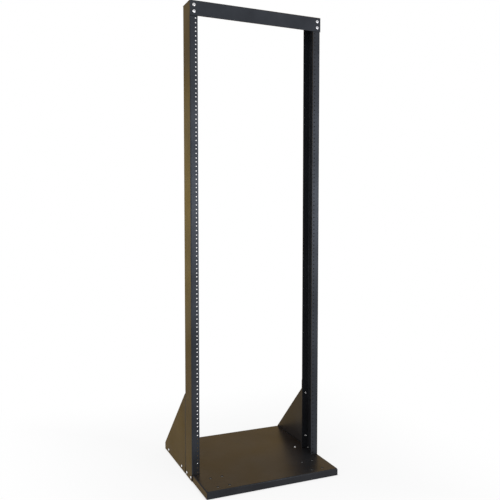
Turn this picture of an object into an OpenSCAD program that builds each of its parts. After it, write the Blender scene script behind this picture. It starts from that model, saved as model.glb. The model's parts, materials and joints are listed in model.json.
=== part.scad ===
// Open frame rack: two channel posts on a folded steel base, for panels of the 19 inch width.
// Millimetres. X runs across the rack, Y from its front to its back and Z up. The origin is
// on the floor, under the middle of the base.

/* [Rack space] */
// Number of rack units between the base and the top beam
rack_units = 36; // [8:1:45]
// Height of one rack unit
unit_h = 44.45; // [40:0.05:50]
// Distance between the three holes of one unit
hole_step = 15.875; // [14:0.125:17]
// Clear width between the two posts
opening_w = 450.8; // [446:0.2:456]
// Distance from the clear width to the column of panel holes beside it
hole_inset = 7.15; // [6:0.05:10]
// Diameter of a panel hole, over the crests of its screw
panel_hole_d = 5.5; // [4:0.1:7.2]
// Clear height between the highest unit and the top beam
top_gap = 0.8; // [0:0.1:20]

/* [Sheet] */
// Thickness of the steel sheet
sheet_t = 2.5; // [1.5:0.1:3.5]
// Inside radius of every bend
bend_r = 1; // [0.5:0.1:3]

/* [Posts] */
// Depth of a post, over both flanges
post_depth = 76.5; // [60:0.5:120]
// Width of a post's flanges, over the web
flange_w = 28.6; // [25:0.1:40]
// Distance from the front of the base to the front of the posts
setback = 152; // [100:0.5:200]

/* [Top beam] */
// Height of the beam's front leg
beam_h = 52; // [40:1:80]

/* [Gussets] */
// Height of the gussets above the floor
gusset_h = 298; // [200:1:400]

/* [Base] */
// Depth of the base, front to back
base_d = 502; // [450:1:700]
// Height of the base
base_h = 25.4; // [20:0.1:40]
// Gap between two skirts where they meet at a corner
corner_gap = 0.6; // [0.2:0.1:3]
// Diameter of the holes in the base's front corners
base_hole_d = 10; // [8:0.5:12]
// Distance between the corner holes, across the rack
base_hole_dx = 43; // [35:0.5:60]
// Distance between the corner holes, front to back
base_hole_dy = 75; // [50:0.5:90]
// Distance from the side of the base to the nearest corner holes
base_hole_side = 49; // [30:0.5:60]
// Distance from the front of the base to the nearest corner holes
base_hole_front = 27; // [20:0.5:40]

/* [Fixings] */
// Diameter of the clearance holes for the frame's bolts
bolt_hole_d = 6.5; // [5:0.1:8.5]
// Height above the floor of the bolts that hold the posts and gussets to the base
foot_bolt_h = 14; // [10:0.5:15]
// Distance from the front of a post to its first bolt into the base
post_bolt_front = 10; // [8:0.5:14]
// Distance between the two bolts of a post into the base
post_bolt_step = 47; // [30:0.5:50]
// Distance from the front of a gusset to its first bolt into the base
gusset_bolt_front = 44; // [20:1:60]
// Distance between the two bolts of a gusset into the base
gusset_bolt_step = 174; // [100:1:180]
// Height of the lower bolt between gusset and post, above the base
gusset_bolt_low = 49; // [20:1:60]
// Height of the upper bolt between gusset and post, above the base
gusset_bolt_high = 220; // [100:1:250]
// Distance from a post's outer face to the bolts of its gusset
gusset_bolt_side = 13; // [8:0.5:15]
// Distance from the top of the beam to its upper screws
beam_screw_top = 16.5; // [10:0.5:20]
// Distance between the upper and lower screws of the beam
beam_screw_step = 22; // [12:0.5:26]
// Distance from the posts' rear to the earthing screws in the base
earth_screw_back = 15; // [12:0.5:40]
// Distance from the side of the base to the earthing screws
earth_screw_side = 46.5; // [35:0.5:60]
// Diameter of the earthing screws' holes
earth_hole_d = 5; // [4:0.5:6]

/* [Hidden] */
$fn = 48;

// How far a cutter reaches past the sheet that it cuts
past = 1;
bend_out = bend_r + sheet_t;

// The posts lap the sides of the base, so the frame is two sheets wider than the base.
frame_w = opening_w + 2 * flange_w;
base_w = frame_w - 2 * sheet_t;
post_front = setback - base_d / 2;
post_rear = post_front + post_depth;
gusset_l = base_d / 2 - post_rear;
// The beam's top leg runs back to the rear of the posts.
beam_leg = post_depth + sheet_t;

beam_z = base_h + rack_units * unit_h + top_gap;
rack_h = beam_z + beam_h;
// The posts stop under the bend of the beam.
post_top = rack_h - bend_out;

// Panel holes sit evenly about the middle of each unit, in from the post's outer face.
first_hole = unit_h / 2 - hole_step;
column_in = flange_w - hole_inset;

frame_paint = [0.16, 0.16, 0.18];
base_paint = [0.22, 0.21, 0.20];

// ---- sections of folded sheet ----

// Block with its corner at the origin rounded
module round_corner(w, d, r) {
    translate([r, 0]) square([w - r, d]);
    translate([0, r]) square([w, d - r]);
    translate([r, r]) circle(r);
}

// Block with both of its corners on X = 0 rounded
module round_back(w, d, r) {
    translate([r, 0]) square([w - r, d]);
    translate([0, r]) square([w, d - 2 * r]);
    translate([r, r]) circle(r);
    translate([r, d - r]) circle(r);
}

// Angle with its bend at the origin and its legs along X and Y
module angle_section(leg_x, leg_y) {
    difference() {
        round_corner(leg_x, leg_y, bend_out);
        translate([sheet_t, sheet_t]) round_corner(leg_x, leg_y, bend_r);
    }
}

// Channel with its web on X = 0 and its flanges towards +X
module channel_section(flange, web) {
    difference() {
        round_back(flange, web, bend_out);
        translate([sheet_t, sheet_t]) round_back(flange, web - 2 * sheet_t, bend_r);
    }
}

// ---- holes through one sheet, from the face on the origin ----

module hole_along_x(d) {
    translate([-past, 0, 0]) rotate([0, 90, 0]) cylinder(d = d, h = sheet_t + 2 * past);
}

module hole_along_y(d) {
    translate([0, -past, 0]) rotate([-90, 0, 0]) cylinder(d = d, h = sheet_t + 2 * past);
}

module hole_along_z(d) {
    translate([0, 0, -past]) cylinder(d = d, h = sheet_t + 2 * past);
}

// ---- places of the fixings, shared by the pieces that they join ----

// Bolts through the foot of a post and the side of the base
module at_post_bolts() {
    for (k = [0, 1])
        translate([0, post_front + post_bolt_front + k * post_bolt_step, foot_bolt_h]) children();
}

// Bolts through the bottom of a gusset and the side of the base
module at_gusset_base_bolts() {
    for (k = [0, 1])
        translate([0, post_rear + gusset_bolt_front + k * gusset_bolt_step, foot_bolt_h]) children();
}

// Bolts through the rear flange of the left post and the flange of its gusset
module at_gusset_post_bolts() {
    for (z = [gusset_bolt_low, gusset_bolt_high])
        translate([gusset_bolt_side - frame_w / 2, 0, base_h + z]) children();
}

// Screws through the left end of the beam and the front flange of its post
module at_beam_screws() {
    for (k = [0, 1])
        translate([(flange_w - frame_w) / 2, 0, rack_h - beam_screw_top - k * beam_screw_step])
            children();
}

module on_both_sides() {
    children();
    mirror([1, 0, 0]) children();
}

// ---- base ----

// Sheet folded down along the two edges that run along X. Under their bends the skirts are
// longer than the top, so that they meet the skirts of the other two sides.
module folded_sheet(length, span, skirt_l) {
    translate([-length / 2, -span / 2, base_h]) rotate([0, 90, 0])
        linear_extrude(height = length) channel_section(base_h, span);
    for (y = [-span / 2, span / 2 - sheet_t])
        translate([-skirt_l / 2, y, 0]) cube([skirt_l, sheet_t, base_h - bend_out]);
}

// Holes for a caster or a floor anchor in the left front corner
module corner_holes() {
    for (i = [0, 1], j = [0, 1])
        translate([base_hole_side + i * base_hole_dx - base_w / 2,
                   base_hole_front + j * base_hole_dy - base_d / 2, base_h - sheet_t])
            hole_along_z(base_hole_d);
}

// Pan with four skirts, open underneath and notched at the top of its corners. The front and
// rear skirts fit between those of the sides.
module base_pan() {
    color(base_paint) difference() {
        union() {
            folded_sheet(base_w - 2 * bend_out, base_d, base_w - 2 * (sheet_t + corner_gap));
            rotate([0, 0, 90]) folded_sheet(base_d - 2 * bend_out, base_w, base_d);
        }
        on_both_sides() {
            corner_holes();
            translate([earth_screw_side - base_w / 2, post_rear + earth_screw_back, base_h - sheet_t])
                hole_along_z(earth_hole_d);
            translate([-base_w / 2, 0, 0]) {
                at_post_bolts() hole_along_x(bolt_hole_d);
                at_gusset_base_bolts() hole_along_x(bolt_hole_d);
            }
        }
    }
}

// ---- posts ----

// Three holes in each rack unit, evenly spaced inside the unit
module panel_holes() {
    for (unit = [0 : rack_units - 1], k = [0 : 2])
        translate([column_in, 0, base_h + unit * unit_h + first_hole + k * hole_step])
            hole_along_y(panel_hole_d);
}

// Channel on the base, with its web carried down over the side of the base as a lap
module post_shape() {
    translate([-frame_w / 2, post_front, 0]) {
        translate([0, 0, base_h])
            linear_extrude(height = post_top - base_h) channel_section(flange_w, post_depth);
        translate([0, bend_out, 0]) cube([sheet_t, post_depth - 2 * bend_out, base_h]);
    }
}

module left_post() {
    color(frame_paint) difference() {
        post_shape();
        translate([-frame_w / 2, post_front, 0]) panel_holes();
        translate([-frame_w / 2, 0, 0]) at_post_bolts() hole_along_x(bolt_hole_d);
        translate([0, post_rear - sheet_t, 0]) at_gusset_post_bolts() hole_along_y(bolt_hole_d);
        translate([0, post_front, 0]) at_beam_screws() hole_along_y(bolt_hole_d);
    }
}

module right_post() {
    mirror([1, 0, 0]) left_post();
}

// ---- top beam ----

// Angle across the front of the posts, with its top leg over their ends
module top_beam() {
    color(frame_paint) difference() {
        translate([-frame_w / 2, post_front - sheet_t, rack_h]) rotate([0, 90, 0])
            linear_extrude(height = frame_w) angle_section(beam_h, beam_leg);
        on_both_sides() translate([0, post_front - sheet_t, 0])
            at_beam_screws() hole_along_y(bolt_hole_d);
    }
}

// ---- gussets ----

// Side view of a gusset, with Y along the base and Z up
module gusset_outline() {
    polygon([[0, 0], [gusset_l, 0], [gusset_l, base_h], [sheet_t, gusset_h], [0, gusset_h]]);
}

// Plate with a flange against the post, and its lower edge lapped over the side of the base
module gusset_shape() {
    translate([-frame_w / 2, post_rear, 0]) intersection() {
        union() {
            translate([0, 0, base_h])
                linear_extrude(height = gusset_h - base_h) angle_section(flange_w, gusset_l);
            translate([0, bend_out, 0]) cube([sheet_t, gusset_l - bend_out, base_h]);
        }
        rotate([90, 0, 90]) linear_extrude(height = flange_w) gusset_outline();
    }
}

module left_gusset() {
    color(frame_paint) difference() {
        gusset_shape();
        translate([-frame_w / 2, 0, 0]) at_gusset_base_bolts() hole_along_x(bolt_hole_d);
        translate([0, post_rear, 0]) at_gusset_post_bolts() hole_along_y(bolt_hole_d);
    }
}

module right_gusset() {
    mirror([1, 0, 0]) left_gusset();
}

base_pan();
left_post();
right_post();
top_beam();
left_gusset();
right_gusset();
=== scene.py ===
import json
import math

import bmesh
import bpy
from mathutils import Matrix, Vector


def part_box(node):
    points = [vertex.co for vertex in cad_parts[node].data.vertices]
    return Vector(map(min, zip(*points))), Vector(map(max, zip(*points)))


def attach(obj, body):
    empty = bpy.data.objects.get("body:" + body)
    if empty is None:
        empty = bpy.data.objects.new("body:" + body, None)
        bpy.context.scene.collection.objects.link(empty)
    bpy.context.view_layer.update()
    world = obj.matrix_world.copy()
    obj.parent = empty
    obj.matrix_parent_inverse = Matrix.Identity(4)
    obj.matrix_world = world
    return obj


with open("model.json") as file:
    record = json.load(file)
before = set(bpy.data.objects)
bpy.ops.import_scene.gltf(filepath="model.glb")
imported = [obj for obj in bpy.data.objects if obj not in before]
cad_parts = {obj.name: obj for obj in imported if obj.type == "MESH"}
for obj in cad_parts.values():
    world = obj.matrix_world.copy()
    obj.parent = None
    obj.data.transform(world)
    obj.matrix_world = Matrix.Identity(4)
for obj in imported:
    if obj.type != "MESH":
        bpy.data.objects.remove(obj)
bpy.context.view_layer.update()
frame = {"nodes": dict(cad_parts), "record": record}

# ---- Base pan ----
# One sheet of steel with its four edges folded down into skirts, bolted between the feet of
# the posts and gussets. It is sprayed with satin black powder, which melts into a skin with a
# very fine orange peel and rounds the cut edges a little. Its gloss is painted bronze at shallow
# angles and faintly blue square on: painted reflections of warm and of cool light.

SHEET = 0.0025
GLOSS = 0.62
EDGE_ROUND = 0.0004


def powder_coat(name, facing, painted_warm_reflection, dull):
    """Satin powder coat: fine orange peel, faint clouds in tone and gloss, a few pale specks.

    Of the two colours, the first is its body and its gloss seen square on, near black with a
    faint blue that is a painted reflection of cool light, and the second is its gloss seen at a
    shallow angle, painted bronze as a reflection of warm light. GLOSS is the share of its light
    that comes from the gloss.
    """
    paint = bpy.data.materials.new(name)
    paint.use_nodes = True
    nodes, links = paint.node_tree.nodes, paint.node_tree.links
    skin = nodes["Principled BSDF"]
    skin.inputs["Metallic"].default_value = GLOSS
    skin.inputs["Specular IOR Level"].default_value = 0
    # The gloss at shallow angles is painted bronze, a painted reflection of warm light.
    skin.inputs["Specular Tint"].default_value = (*painted_warm_reflection, 1)
    place = nodes.new("ShaderNodeTexCoord").outputs["Object"]

    def noise(scale, detail):
        made = nodes.new("ShaderNodeTexNoise")
        made.inputs["Scale"].default_value = scale
        made.inputs["Detail"].default_value = detail
        links.new(place, made.inputs["Vector"])
        return made.outputs["Fac"]

    def spread(value, low, high, to_low, to_high):
        made = nodes.new("ShaderNodeMapRange")
        made.inputs["From Min"].default_value = low
        made.inputs["From Max"].default_value = high
        made.inputs["To Min"].default_value = to_low
        made.inputs["To Max"].default_value = to_high
        links.new(value, made.inputs["Value"])
        return made.outputs["Result"]

    def blend(share, first, second):
        made = nodes.new("ShaderNodeMix")
        made.data_type = "RGBA"
        links.new(share, made.inputs["Factor"])
        for socket, colour in ((made.inputs["A"], first), (made.inputs["B"], second)):
            if isinstance(colour, tuple):
                socket.default_value = (*colour, 1)
            else:
                links.new(colour, socket)
        return made.outputs["Result"]

    darker = tuple(c * 0.88 for c in facing)
    lighter = tuple(c * 1.12 for c in facing)
    cloudy = spread(noise(scale=9, detail=3), low=0.35, high=0.65, to_low=0, to_high=1)
    specked = spread(noise(scale=420, detail=1), low=0.77, high=0.81, to_low=0, to_high=0.4)
    pale = (0.10, 0.10, 0.10)
    body = blend(specked, blend(cloudy, darker, lighter), pale)
    links.new(body, skin.inputs["Base Color"])
    dullness = spread(noise(scale=5, detail=4), low=0.3, high=0.7,
                      to_low=dull - 0.03, to_high=dull + 0.05)
    links.new(dullness, skin.inputs["Roughness"])
    peel = nodes.new("ShaderNodeBump")
    peel.inputs["Strength"].default_value = 0.5
    peel.inputs["Distance"].default_value = 0.00006
    links.new(noise(scale=650, detail=2), peel.inputs["Height"])
    links.new(peel.outputs["Normal"], skin.inputs["Normal"])
    return paint


def coat(name, paint):
    """Paints a folded piece, and rounds the cut edges of its sheet as the powder does."""
    piece = frame["nodes"][name]
    piece.data.materials.clear()
    piece.data.materials.append(paint)
    joined = piece.modifiers.new("joined corners", "WELD")
    joined.merge_threshold = 0.000002
    flat = piece.modifiers.new("whole faces", "DECIMATE")
    flat.decimate_type = "DISSOLVE"
    flat.angle_limit = math.radians(1)
    edges = piece.modifiers.new("rounded edges", "BEVEL")
    edges.width = EDGE_ROUND
    edges.segments = 2
    edges.limit_method = "ANGLE"
    edges.angle_limit = math.radians(50)
    edges.harden_normals = True


# Painted reflections: bronze gloss at shallow angles for warm light, a faint blue square on for
# cool light.
base_paint = powder_coat("base_paint", facing=(0.031, 0.032, 0.036),
                         painted_warm_reflection=(0.98, 0.76, 0.50), dull=0.34)
coat("base_pan", base_paint)

# ---- Posts ----
# Two channels folded from the same sheet, each with a row of tapped holes down its front
# flange. The holes are tapped before the post is sprayed, so their threads are black as well.

# Painted reflections: bronze gloss at shallow angles for warm light, a faint blue square on for
# cool light.
frame_paint = powder_coat("frame_paint", facing=(0.037, 0.040, 0.047),
                          painted_warm_reflection=(1.0, 0.74, 0.40), dull=0.38)
coat("left_post", frame_paint)
coat("right_post", frame_paint)


def mesh_piece(name, bm):
    """Turns worked mesh into a piece with its faces pointing outwards."""
    bmesh.ops.recalc_face_normals(bm, faces=bm.faces)
    mesh = bpy.data.meshes.new(name)
    bm.to_mesh(mesh)
    bm.free()
    piece = bpy.data.objects.new(name, mesh)
    bpy.context.collection.objects.link(piece)
    return piece


def add_worked(bm, part):
    """Moves worked mesh into other worked mesh."""
    held = bpy.data.meshes.new("held")
    part.to_mesh(held)
    part.free()
    bm.from_mesh(held)
    bpy.data.meshes.remove(held)


def add_thread(bm, root, crest, pitch, low, high, steps=18):
    """Adds one helical ridge about Z, from radius root to radius crest, cut flat at both ends.

    Its foot fills most of the pitch, so little flat is left between two turns.
    """
    ridge = bmesh.new()
    half_foot, half_tip = 0.44 * pitch, 0.07 * pitch
    outline = ((root, -half_foot), (crest, -half_tip), (crest, half_tip), (root, half_foot))
    turns = (high - low) / pitch + 1
    rings = []
    for i in range(round(turns * steps) + 1):
        angle = 2 * math.pi * i / steps
        rise = low - pitch / 2 + pitch * i / steps
        rings.append([ridge.verts.new((r * math.cos(angle), r * math.sin(angle), rise + z))
                      for r, z in outline])
    for a, b in zip(rings, rings[1:]):
        for k in range(len(outline)):
            m = (k + 1) % len(outline)
            ridge.faces.new((a[k], a[m], b[m], b[k]))
    ridge.faces.new(rings[0])
    ridge.faces.new(rings[-1])
    for height, side in ((low, -1), (high, 1)):
        parts = ridge.verts[:] + ridge.edges[:] + ridge.faces[:]
        cut = bmesh.ops.bisect_plane(ridge, geom=parts, plane_co=(0, 0, height),
                                     plane_no=(0, 0, side), clear_outer=True)["geom_cut"]
        bmesh.ops.holes_fill(ridge, edges=[e for e in cut if isinstance(e, bmesh.types.BMEdge)])
    add_worked(bm, ridge)


def new_tree(name, inputs):
    """Starts a Geometry Nodes tree with named inputs."""
    tree = bpy.data.node_groups.new(name, "GeometryNodeTree")
    for label, kind in inputs:
        tree.interface.new_socket(label, in_out="INPUT", socket_type="NodeSocket" + kind)
    tree.interface.new_socket("Geometry", in_out="OUTPUT", socket_type="NodeSocketGeometry")
    return tree


def node(tree, kind, settings=None, **wires):
    """Adds a node; each wire is the value or output that goes to the input of that name."""
    made = tree.nodes.new(kind)
    for key, value in (settings or {}).items():
        setattr(made, key, value)
    for label, value in wires.items():
        socket = made.inputs[label.replace("_", " ")]
        if isinstance(value, bpy.types.NodeSocket):
            tree.links.new(value, socket)
        else:
            socket.default_value = value
    return made


def grow(name, tree, **values):
    """Runs a tree with these inputs and keeps the result as a plain mesh."""
    piece = bpy.data.objects.new(name, bpy.data.meshes.new(name))
    bpy.context.collection.objects.link(piece)
    growth = piece.modifiers.new(name, "NODES")
    growth.node_group = tree
    for item in tree.interface.items_tree:
        if item.in_out == "INPUT":
            growth[item.identifier] = values[item.name.replace(" ", "_")]
    bpy.context.view_layer.update()
    seen = piece.evaluated_get(bpy.context.evaluated_depsgraph_get())
    mesh = bpy.data.meshes.new_from_object(seen)
    piece.modifiers.remove(growth)
    piece.data = mesh
    mesh.name = name
    return piece


def tapped_holes_tree():
    """Repeats a thread at every panel hole of both posts."""
    tree = new_tree("tapped holes", (
        ("Thread", "Object"), ("Lowest hole", "Vector"), ("Hole step", "Vector"),
        ("Unit step", "Vector"), ("Units", "Int"), ("Across", "Vector"), ("Finish", "Material")))
    given = tree.nodes.new("NodeGroupInput").outputs
    units = node(tree, "GeometryNodeMeshLine", Count=given["Units"],
                 Start_Location=given["Lowest hole"], Offset=given["Unit step"])
    three = node(tree, "GeometryNodeMeshLine", Count=3, Offset=given["Hole step"])
    column = node(tree, "GeometryNodeInstanceOnPoints", Points=units.outputs["Mesh"],
                  Instance=three.outputs["Mesh"])
    points = node(tree, "GeometryNodeRealizeInstances", Geometry=column.outputs["Instances"])
    across = node(tree, "GeometryNodeTransform", Geometry=points.outputs["Geometry"],
                  Translation=given["Across"])
    both = tree.nodes.new("GeometryNodeJoinGeometry")
    for half in (points, across):
        tree.links.new(half.outputs["Geometry"], both.inputs["Geometry"])
    thread = node(tree, "GeometryNodeObjectInfo", Object=given["Thread"])
    cut = node(tree, "GeometryNodeInstanceOnPoints", Points=both.outputs["Geometry"],
               Instance=thread.outputs["Geometry"])
    whole = node(tree, "GeometryNodeRealizeInstances", Geometry=cut.outputs["Instances"])
    done = node(tree, "GeometryNodeSetMaterial", Geometry=whole.outputs["Geometry"],
                Material=given["Finish"])
    tree.links.new(done.outputs["Geometry"], tree.nodes.new("NodeGroupOutput").inputs["Geometry"])
    return tree


# The record's panel patterns say where the holes are: the two columns, and the outer holes
# of the lowest and the highest unit.
patterns = {mount["name"]: mount for mount in frame["record"]["mounts"]}
lowest, highest = patterns["panel_bottom"], patterns["panel_top"]
columns_apart = lowest["dims"]["spacing_x_mm"] / 1000
hole_step = lowest["dims"]["spacing_y_mm"] / 2000
UNITS = 36
unit_step = (highest["pos_m"][2] - lowest["pos_m"][2]) / (UNITS - 1)

cut_thread = bmesh.new()
add_thread(cut_thread, root=0.00278, crest=0.00228, pitch=0.001058, low=-SHEET, high=0)
to_the_front = Matrix.Rotation(math.pi / 2, 3, "X")
bmesh.ops.rotate(cut_thread, verts=cut_thread.verts, matrix=to_the_front)
panel_thread = mesh_piece("panel_thread", cut_thread)
threads = grow("panel_threads", tapped_holes_tree(),
               Thread=panel_thread,
               Lowest_hole=(-columns_apart / 2, lowest["pos_m"][1], lowest["pos_m"][2] - hole_step),
               Hole_step=(0, 0, hole_step), Unit_step=(0, 0, unit_step), Units=UNITS,
               Across=(columns_apart, 0, 0), Finish=frame_paint)
bpy.data.objects.remove(panel_thread)
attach(threads, "root")

# ---- Top beam ----
# A folded angle in the posts' own paint, which laps the front of both posts and covers their
# tops. Screws through its ends hold the posts upright and apart.

coat("top_beam", frame_paint)

# ---- Gussets ----
# Folded triangular plates in the posts' own paint, one behind each post. The plate laps the
# side of the base, and its narrow flange is screwed to the rear flange of the post.

coat("left_gusset", frame_paint)
coat("right_gusset", frame_paint)

# ---- Machine screws ----
# Zinc plated steel screws with a pan head and a cross recess, each with a washer and a
# hexagon nut behind the sheets. They hold every joint of the rack, two at each place: large
# ones through the beam, and smaller ones at the feet and between each gusset and its post.


def zinc_plate(name, colour, dull):
    """Zinc plating, with fine scuffs in its tone and its gloss."""
    plating = bpy.data.materials.new(name)
    plating.use_nodes = True
    nodes, links = plating.node_tree.nodes, plating.node_tree.links
    skin = nodes["Principled BSDF"]
    skin.inputs["Metallic"].default_value = 1
    place = nodes.new("ShaderNodeTexCoord").outputs["Object"]
    scuffs = nodes.new("ShaderNodeTexNoise")
    scuffs.inputs["Scale"].default_value = 700
    scuffs.inputs["Detail"].default_value = 3
    links.new(place, scuffs.inputs["Vector"])
    gloss = nodes.new("ShaderNodeMapRange")
    gloss.inputs["To Min"].default_value = dull - 0.08
    gloss.inputs["To Max"].default_value = dull + 0.12
    links.new(scuffs.outputs["Fac"], gloss.inputs["Value"])
    links.new(gloss.outputs["Result"], skin.inputs["Roughness"])
    tone = nodes.new("ShaderNodeMix")
    tone.data_type = "RGBA"
    tone.inputs["A"].default_value = (*(c * 0.85 for c in colour), 1)
    tone.inputs["B"].default_value = (*colour, 1)
    links.new(scuffs.outputs["Fac"], tone.inputs["Factor"])
    links.new(tone.outputs["Result"], skin.inputs["Base Color"])
    return plating


def turned(bm, profile, steps=32):
    """Adds a closed solid turned about Z from (radius, height) points, from axis to axis."""
    rings = []
    for radius, height in profile:
        if radius == 0:
            rings.append([bm.verts.new((0, 0, height))] * steps)
        else:
            rings.append([bm.verts.new((radius * math.cos(2 * math.pi * k / steps),
                                        radius * math.sin(2 * math.pi * k / steps), height))
                          for k in range(steps)])
    for a, b in zip(rings, rings[1:]):
        for k in range(steps):
            corners = [a[k], a[(k + 1) % steps], b[(k + 1) % steps], b[k]]
            corners = [c for i, c in enumerate(corners) if c not in corners[:i]]
            if len(corners) > 2:
                bm.faces.new(corners)


def prism(bm, low_outline, high_outline, low, high):
    """Adds a closed solid between two outlines at heights low and high."""
    a = [bm.verts.new((x, y, low)) for x, y in low_outline]
    b = [bm.verts.new((x, y, high)) for x, y in high_outline]
    for k in range(len(a)):
        m = (k + 1) % len(a)
        bm.faces.new((a[k], a[m], b[m], b[k]))
    bm.faces.new(a)
    bm.faces.new(b)


def cross_outline(reach, half):
    """Outline of a cross whose arms reach this far and are twice half wide."""
    arm = [(reach, -half), (reach, half), (half, half)]
    return [(x * c - y * s, x * s + y * c)
            for c, s in ((1, 0), (0, 1), (-1, 0), (0, -1)) for x, y in arm]


def combined(name, first, second, how):
    """Worked mesh of what is left of first when second is cut away, or of what both share."""
    body, tool = mesh_piece(name, first), mesh_piece(name + "_tool", second)
    change = body.modifiers.new(how, "BOOLEAN")
    change.operation = how
    change.object = tool
    bpy.context.view_layer.update()
    result = bmesh.new()
    result.from_object(body, bpy.context.evaluated_depsgraph_get())
    for used in (body, tool):
        bpy.data.objects.remove(used)
    return result


def screw_set(name, shank, head, height, grip, across_flats):
    """Pan head screw through sheets of total thickness grip, with its washer and nut.

    shank and head are radii. The axis is Z, the head stands on Z = 0 and the nut is below
    the sheets.
    """
    # Upright sides, a rounded shoulder and a low crown, with a cross that narrows downwards.
    dome = bmesh.new()
    turned(dome, [(0, 0), (head * 0.97, 0), (head, height * 0.08), (head, height * 0.42),
                  (head * 0.95, height * 0.66), (head * 0.84, height * 0.82),
                  (head * 0.62, height * 0.94), (head * 0.35, height * 0.99), (0, height)])
    recess = bmesh.new()
    cross_foot = cross_outline(head * 0.22, head * 0.085)
    cross_mouth = cross_outline(head * 0.62, head * 0.15)
    prism(recess, cross_foot, cross_mouth, height * 0.25, height * 1.05)
    made = combined(name, dome, recess, "DIFFERENCE")

    # The washer, a little wider than the head, with its edges eased.
    thick = 0.2 * shank * 2
    rim, eased = head * 1.05, head * 1.02
    turned(made, [(0, -grip), (eased, -grip), (rim, -grip - thick * 0.15),
                  (rim, -grip - thick * 0.85), (eased, -grip - thick), (0, -grip - thick)])

    # The nut: a hexagon with its corners chamfered at both ends, countersunk below.
    top = -grip - thick
    bottom = top - 0.82 * shank * 2
    corner = across_flats / math.sqrt(3)
    hexagon = [(corner * math.cos(math.pi * k / 3), corner * math.sin(math.pi * k / 3))
               for k in range(6)]
    flats = bmesh.new()
    prism(flats, hexagon, hexagon, bottom, top)
    face = across_flats * 0.475
    past = corner * 1.02
    drop = (corner - face) * 0.58
    sink = shank * 0.2
    chamfers = bmesh.new()
    turned(chamfers, [(0, top), (face, top), (past, top - drop), (past, bottom + drop),
                      (face, bottom), (shank * 1.18, bottom), (shank * 0.98, bottom + sink),
                      (0, bottom + sink)])
    add_worked(made, combined(name, flats, chamfers, "INTERSECT"))

    # The threaded shank, which shows one radius past the nut and ends in a short taper.
    end = bottom - shank
    root = shank * 0.86
    turned(made, [(0, 0), (root, 0), (root, end + shank * 0.15), (root * 0.8, end), (0, end)],
           steps=18)
    add_thread(made, root=root * 0.98, crest=shank, pitch=shank * 0.33,
               low=end + shank * 0.2, high=top, steps=16)
    return mesh_piece(name, made)


def screw_rows_tree():
    """A row of screws on one side and its mirror image on the other, turned at random."""
    tree = new_tree("screw rows", (
        ("Screw", "Object"), ("First place", "Vector"), ("Step", "Vector"), ("Count", "Int"),
        ("Facing", "Vector"), ("Seed", "Int"), ("Finish", "Material")))
    given = tree.nodes.new("NodeGroupInput").outputs
    screw = node(tree, "GeometryNodeObjectInfo", Object=given["Screw"])
    row = node(tree, "GeometryNodeMeshLine", Count=given["Count"],
               Start_Location=given["First place"], Offset=given["Step"])
    both = tree.nodes.new("GeometryNodeJoinGeometry")
    for side in (1, -1):
        places = node(tree, "GeometryNodeTransform", Geometry=row.outputs["Mesh"],
                      Scale=(side, 1, 1))
        facing = node(tree, "ShaderNodeVectorMath", {"operation": "MULTIPLY"})
        tree.links.new(given["Facing"], facing.inputs[0])
        facing.inputs[1].default_value = (side, 1, 1)
        stood = node(tree, "FunctionNodeAlignRotationToVector", {"axis": "Z"},
                     Vector=facing.outputs["Vector"])
        turn = node(tree, "FunctionNodeRandomValue", {"data_type": "FLOAT"}, Seed=given["Seed"])
        turn.inputs[2].default_value = 0
        turn.inputs[3].default_value = math.pi
        about = node(tree, "ShaderNodeCombineXYZ", Z=turn.outputs[1])
        spun = node(tree, "FunctionNodeRotateRotation", {"rotation_space": "LOCAL"},
                    Rotation=stood.outputs["Rotation"], Rotate_By=about.outputs["Vector"])
        set_in = node(tree, "GeometryNodeInstanceOnPoints", Points=places.outputs["Geometry"],
                      Instance=screw.outputs["Geometry"], Rotation=spun.outputs["Rotation"])
        tree.links.new(set_in.outputs["Instances"], both.inputs["Geometry"])
    whole = node(tree, "GeometryNodeRealizeInstances", Geometry=both.outputs["Geometry"])
    done = node(tree, "GeometryNodeSetMaterial", Geometry=whole.outputs["Geometry"],
                Material=given["Finish"])
    tree.links.new(done.outputs["Geometry"], tree.nodes.new("NodeGroupOutput").inputs["Geometry"])
    return tree


zinc = zinc_plate("zinc", (0.80, 0.80, 0.82), 0.25)
SMALL_SCREW = {"shank": 0.0024, "head": 0.0043, "height": 0.0028, "across_flats": 0.008}
beam_screw = screw_set("beam_screw", shank=0.003, head=0.0056, height=0.0040,
                       grip=2 * SHEET, across_flats=0.010)
foot_screw = screw_set("foot_screw", grip=2 * SHEET, **SMALL_SCREW)
screw_rows = screw_rows_tree()

post_low, post_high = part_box("left_post")
beam_low, beam_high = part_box("top_beam")
base_low, base_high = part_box("base_pan")
gusset_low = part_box("left_gusset")[0]

# How far the first screw of each row stands from the edges of the pieces that it joins, and
# how far the second one is from it.
BEAM_TOP_TO_SCREW, BEAM_PITCH = 0.0165, 0.022
FLOOR_TO_FOOT_SCREW = 0.014
POST_FRONT_TO_SCREW, POST_FOOT_PITCH = 0.010, 0.047
GUSSET_FRONT_TO_SCREW, GUSSET_FOOT_PITCH = 0.044, 0.174
SIDE_TO_FLANGE_SCREW = 0.013
BASE_TO_FLANGE_SCREW, GUSSET_FLANGE_PITCH = 0.049, 0.171

flange_middle = (post_low[0] + post_high[0]) / 2
upper_beam_screw = (flange_middle, beam_low[1], beam_high[2] - BEAM_TOP_TO_SCREW)
front_post_screw = (post_low[0], post_low[1] + POST_FRONT_TO_SCREW, FLOOR_TO_FOOT_SCREW)
front_gusset_screw = (gusset_low[0], gusset_low[1] + GUSSET_FRONT_TO_SCREW, FLOOR_TO_FOOT_SCREW)
lower_flange_screw = (gusset_low[0] + SIDE_TO_FLANGE_SCREW, post_high[1] - SHEET,
                      base_high[2] + BASE_TO_FLANGE_SCREW)

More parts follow.
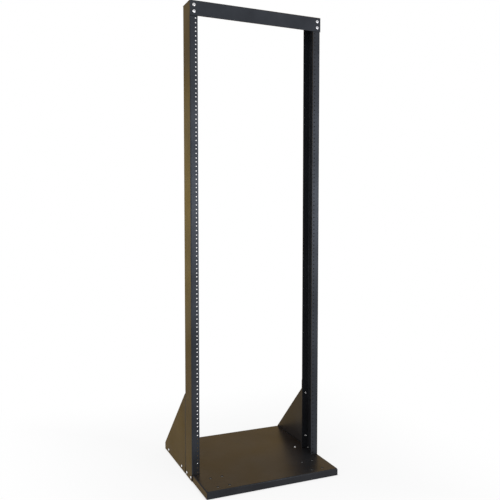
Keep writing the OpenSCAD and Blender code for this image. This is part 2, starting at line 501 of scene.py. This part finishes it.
FRONT, LEFT = (0, -1, 0), (-1, 0, 0)
joints = (
    ("beam_screws", beam_screw, upper_beam_screw, (0, 0, -BEAM_PITCH), FRONT),
    ("post_foot_screws", foot_screw, front_post_screw, (0, POST_FOOT_PITCH, 0), LEFT),
    ("gusset_foot_screws", foot_screw, front_gusset_screw, (0, GUSSET_FOOT_PITCH, 0), LEFT),
    ("gusset_flange_screws", foot_screw, lower_flange_screw, (0, 0, GUSSET_FLANGE_PITCH), FRONT),
)
for seed, (name, screw, place, step, facing) in enumerate(joints):
    screws = grow(name, screw_rows, Screw=screw, First_place=place, Step=step, Count=2,
                  Facing=facing, Seed=seed, Finish=zinc)
    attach(screws, "root")
for screw in (beam_screw, foot_screw):
    bpy.data.objects.remove(screw)

# ---- Earthing screws ----
# One more of the smaller screws stands in the base behind each post, to hold an earth lead.
# It goes through the sheet of the base alone and has its nut in the hollow below.

BASE_SIDE_TO_SCREW = 0.0465
POST_TO_EARTH_SCREW = 0.015
behind_post = (base_low[0] + BASE_SIDE_TO_SCREW, post_high[1] + POST_TO_EARTH_SCREW, base_high[2])
earth_screw = screw_set("earth_screw", grip=SHEET, **SMALL_SCREW)
screws = grow("earth_screws", screw_rows, Screw=earth_screw, First_place=behind_post,
              Step=(0, 0, 0), Count=1, Facing=(0, 0, 1), Seed=9, Finish=zinc)
bpy.data.objects.remove(earth_screw)
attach(screws, "root")

# ---- Floor ----
# A plain pale studio floor. It is in shade under the base, takes the rack's soft shadow
# beside it, and further out melts into the white room.


def seen_directly(tree):
    """1 for what is looked at, mirrored or looked at through something, and 0 for lighting."""
    ray = tree.nodes.new("ShaderNodeLightPath")
    share = ray.outputs["Is Camera Ray"]
    for kind in ("Is Glossy Ray", "Is Transmission Ray"):
        either = tree.nodes.new("ShaderNodeMath")
        either.operation = "MAXIMUM"
        tree.links.new(share, either.inputs[0])
        tree.links.new(ray.outputs[kind], either.inputs[1])
        share = either.outputs[0]
    return share


floor_paint = bpy.data.materials.new("studio_floor")
floor_paint.use_nodes = True
tree = floor_paint.node_tree
matt = tree.nodes["Principled BSDF"]
matt.inputs["Base Color"].default_value = (0.86, 0.86, 0.86, 1)
matt.inputs["Roughness"].default_value = 0.9

# How far out a point of the floor lies, along X or Y, whichever is further.
place = tree.nodes.new("ShaderNodeTexCoord")
apart = tree.nodes.new("ShaderNodeSeparateXYZ")
tree.links.new(place.outputs["Object"], apart.inputs[0])
reach = tree.nodes.new("ShaderNodeMath")
reach.operation = "MAXIMUM"
for socket, axis in zip(reach.inputs, ("X", "Y")):
    distance = tree.nodes.new("ShaderNodeMath")
    distance.operation = "ABSOLUTE"
    tree.links.new(apart.outputs[axis], distance.inputs[0])
    tree.links.new(distance.outputs[0], socket)

# The share of white, which rises fast at the edge of the base and slowly from there on.
UNDER_BASE, BESIDE_BASE, FAR_OUT = 0.235, 0.262, 1.0
fade = tree.nodes.new("ShaderNodeValToRGB")
fade.color_ramp.interpolation = "EASE"
stops = fade.color_ramp.elements
stops[0].position = UNDER_BASE
stops[0].color = (0.12, 0.12, 0.12, 1)
stops[1].position = FAR_OUT
stops[1].color = (1, 1, 1, 1)
stops.new(BESIDE_BASE).color = (0.88, 0.88, 0.88, 1)
tree.links.new(reach.outputs[0], fade.inputs["Fac"])

# The white shows only where the floor is seen. What it throws back is the light of matt paint.
share = tree.nodes.new("ShaderNodeMath")
share.operation = "MULTIPLY"
tree.links.new(fade.outputs["Color"], share.inputs[0])
tree.links.new(seen_directly(tree), share.inputs[1])
white = tree.nodes.new("ShaderNodeEmission")
mixed = tree.nodes.new("ShaderNodeMixShader")
tree.links.new(share.outputs[0], mixed.inputs[0])
tree.links.new(matt.outputs["BSDF"], mixed.inputs[1])
tree.links.new(white.outputs["Emission"], mixed.inputs[2])
tree.links.new(mixed.outputs["Shader"], tree.nodes["Material Output"].inputs["Surface"])

ground = bmesh.new()
bmesh.ops.create_grid(ground, x_segments=2, y_segments=2, size=30)
floor = mesh_piece("studio_floor", ground)
floor.data.materials.append(floor_paint)

# ---- Room and lamps ----
# A white studio, which lights the rack softly from all round but less strongly than it
# looks, and three large lamps for modelling: beside, before and behind the rack.

AMBIENT = 0.55
room = bpy.data.worlds.new("room")
room.use_nodes = True
bpy.context.scene.world = room
walls = room.node_tree.nodes["Background"]
walls.inputs["Color"].default_value = (1, 1, 1, 1)
level = room.node_tree.nodes.new("ShaderNodeMapRange")
level.inputs["To Min"].default_value = AMBIENT
room.node_tree.links.new(seen_directly(room.node_tree), level.inputs["Value"])
room.node_tree.links.new(level.outputs["Result"], walls.inputs["Strength"])

lamps = (
    ("side_lamp", (-3.0, -1.3, 1.0), (0, 0, 0.9), (1.0, 2.4), 30, (1, 0.98, 0.95)),
    ("front_lamp", (1.35, -3.2, 1.15), (0, 0, 1.1), (1.6, 1.1), 37, (0.93, 0.97, 1)),
    ("rear_lamp", (-1.35, 3.2, 0.9), (0, 0, 0.9), (1.0, 2.2), 14, (0.70, 0.84, 1)),
)
for name, stand, aim, size, power, colour in lamps:
    light = bpy.data.lights.new(name, "AREA")
    light.shape = "RECTANGLE"
    light.size, light.size_y = size
    light.energy = power
    light.color = colour
    lamp = bpy.data.objects.new(name, light)
    lamp.location = stand
    lamp.rotation_euler = (Vector(stand) - Vector(aim)).to_track_quat("Z", "Y").to_euler()
    lamp.visible_camera = False
    bpy.context.collection.objects.link(lamp)

# ---- Camera ----
# It stands to the left of the rack's front, a little above half of its height, and looks
# down by three degrees, so the posts draw together slightly towards the floor.

lens = bpy.data.cameras.new("camera")
lens.lens = 44.696
lens.shift_x = -0.00035
lens.shift_y = -0.00364
camera = bpy.data.objects.new("camera", lens)
camera.location = (-0.91781, -2.15822, 0.94627)
camera.rotation_euler = (math.radians(90 - 3.065), 0, -math.radians(23.333))
bpy.context.collection.objects.link(camera)
bpy.context.scene.camera = camera
bpy.context.scene.view_settings.view_transform = "Standard"
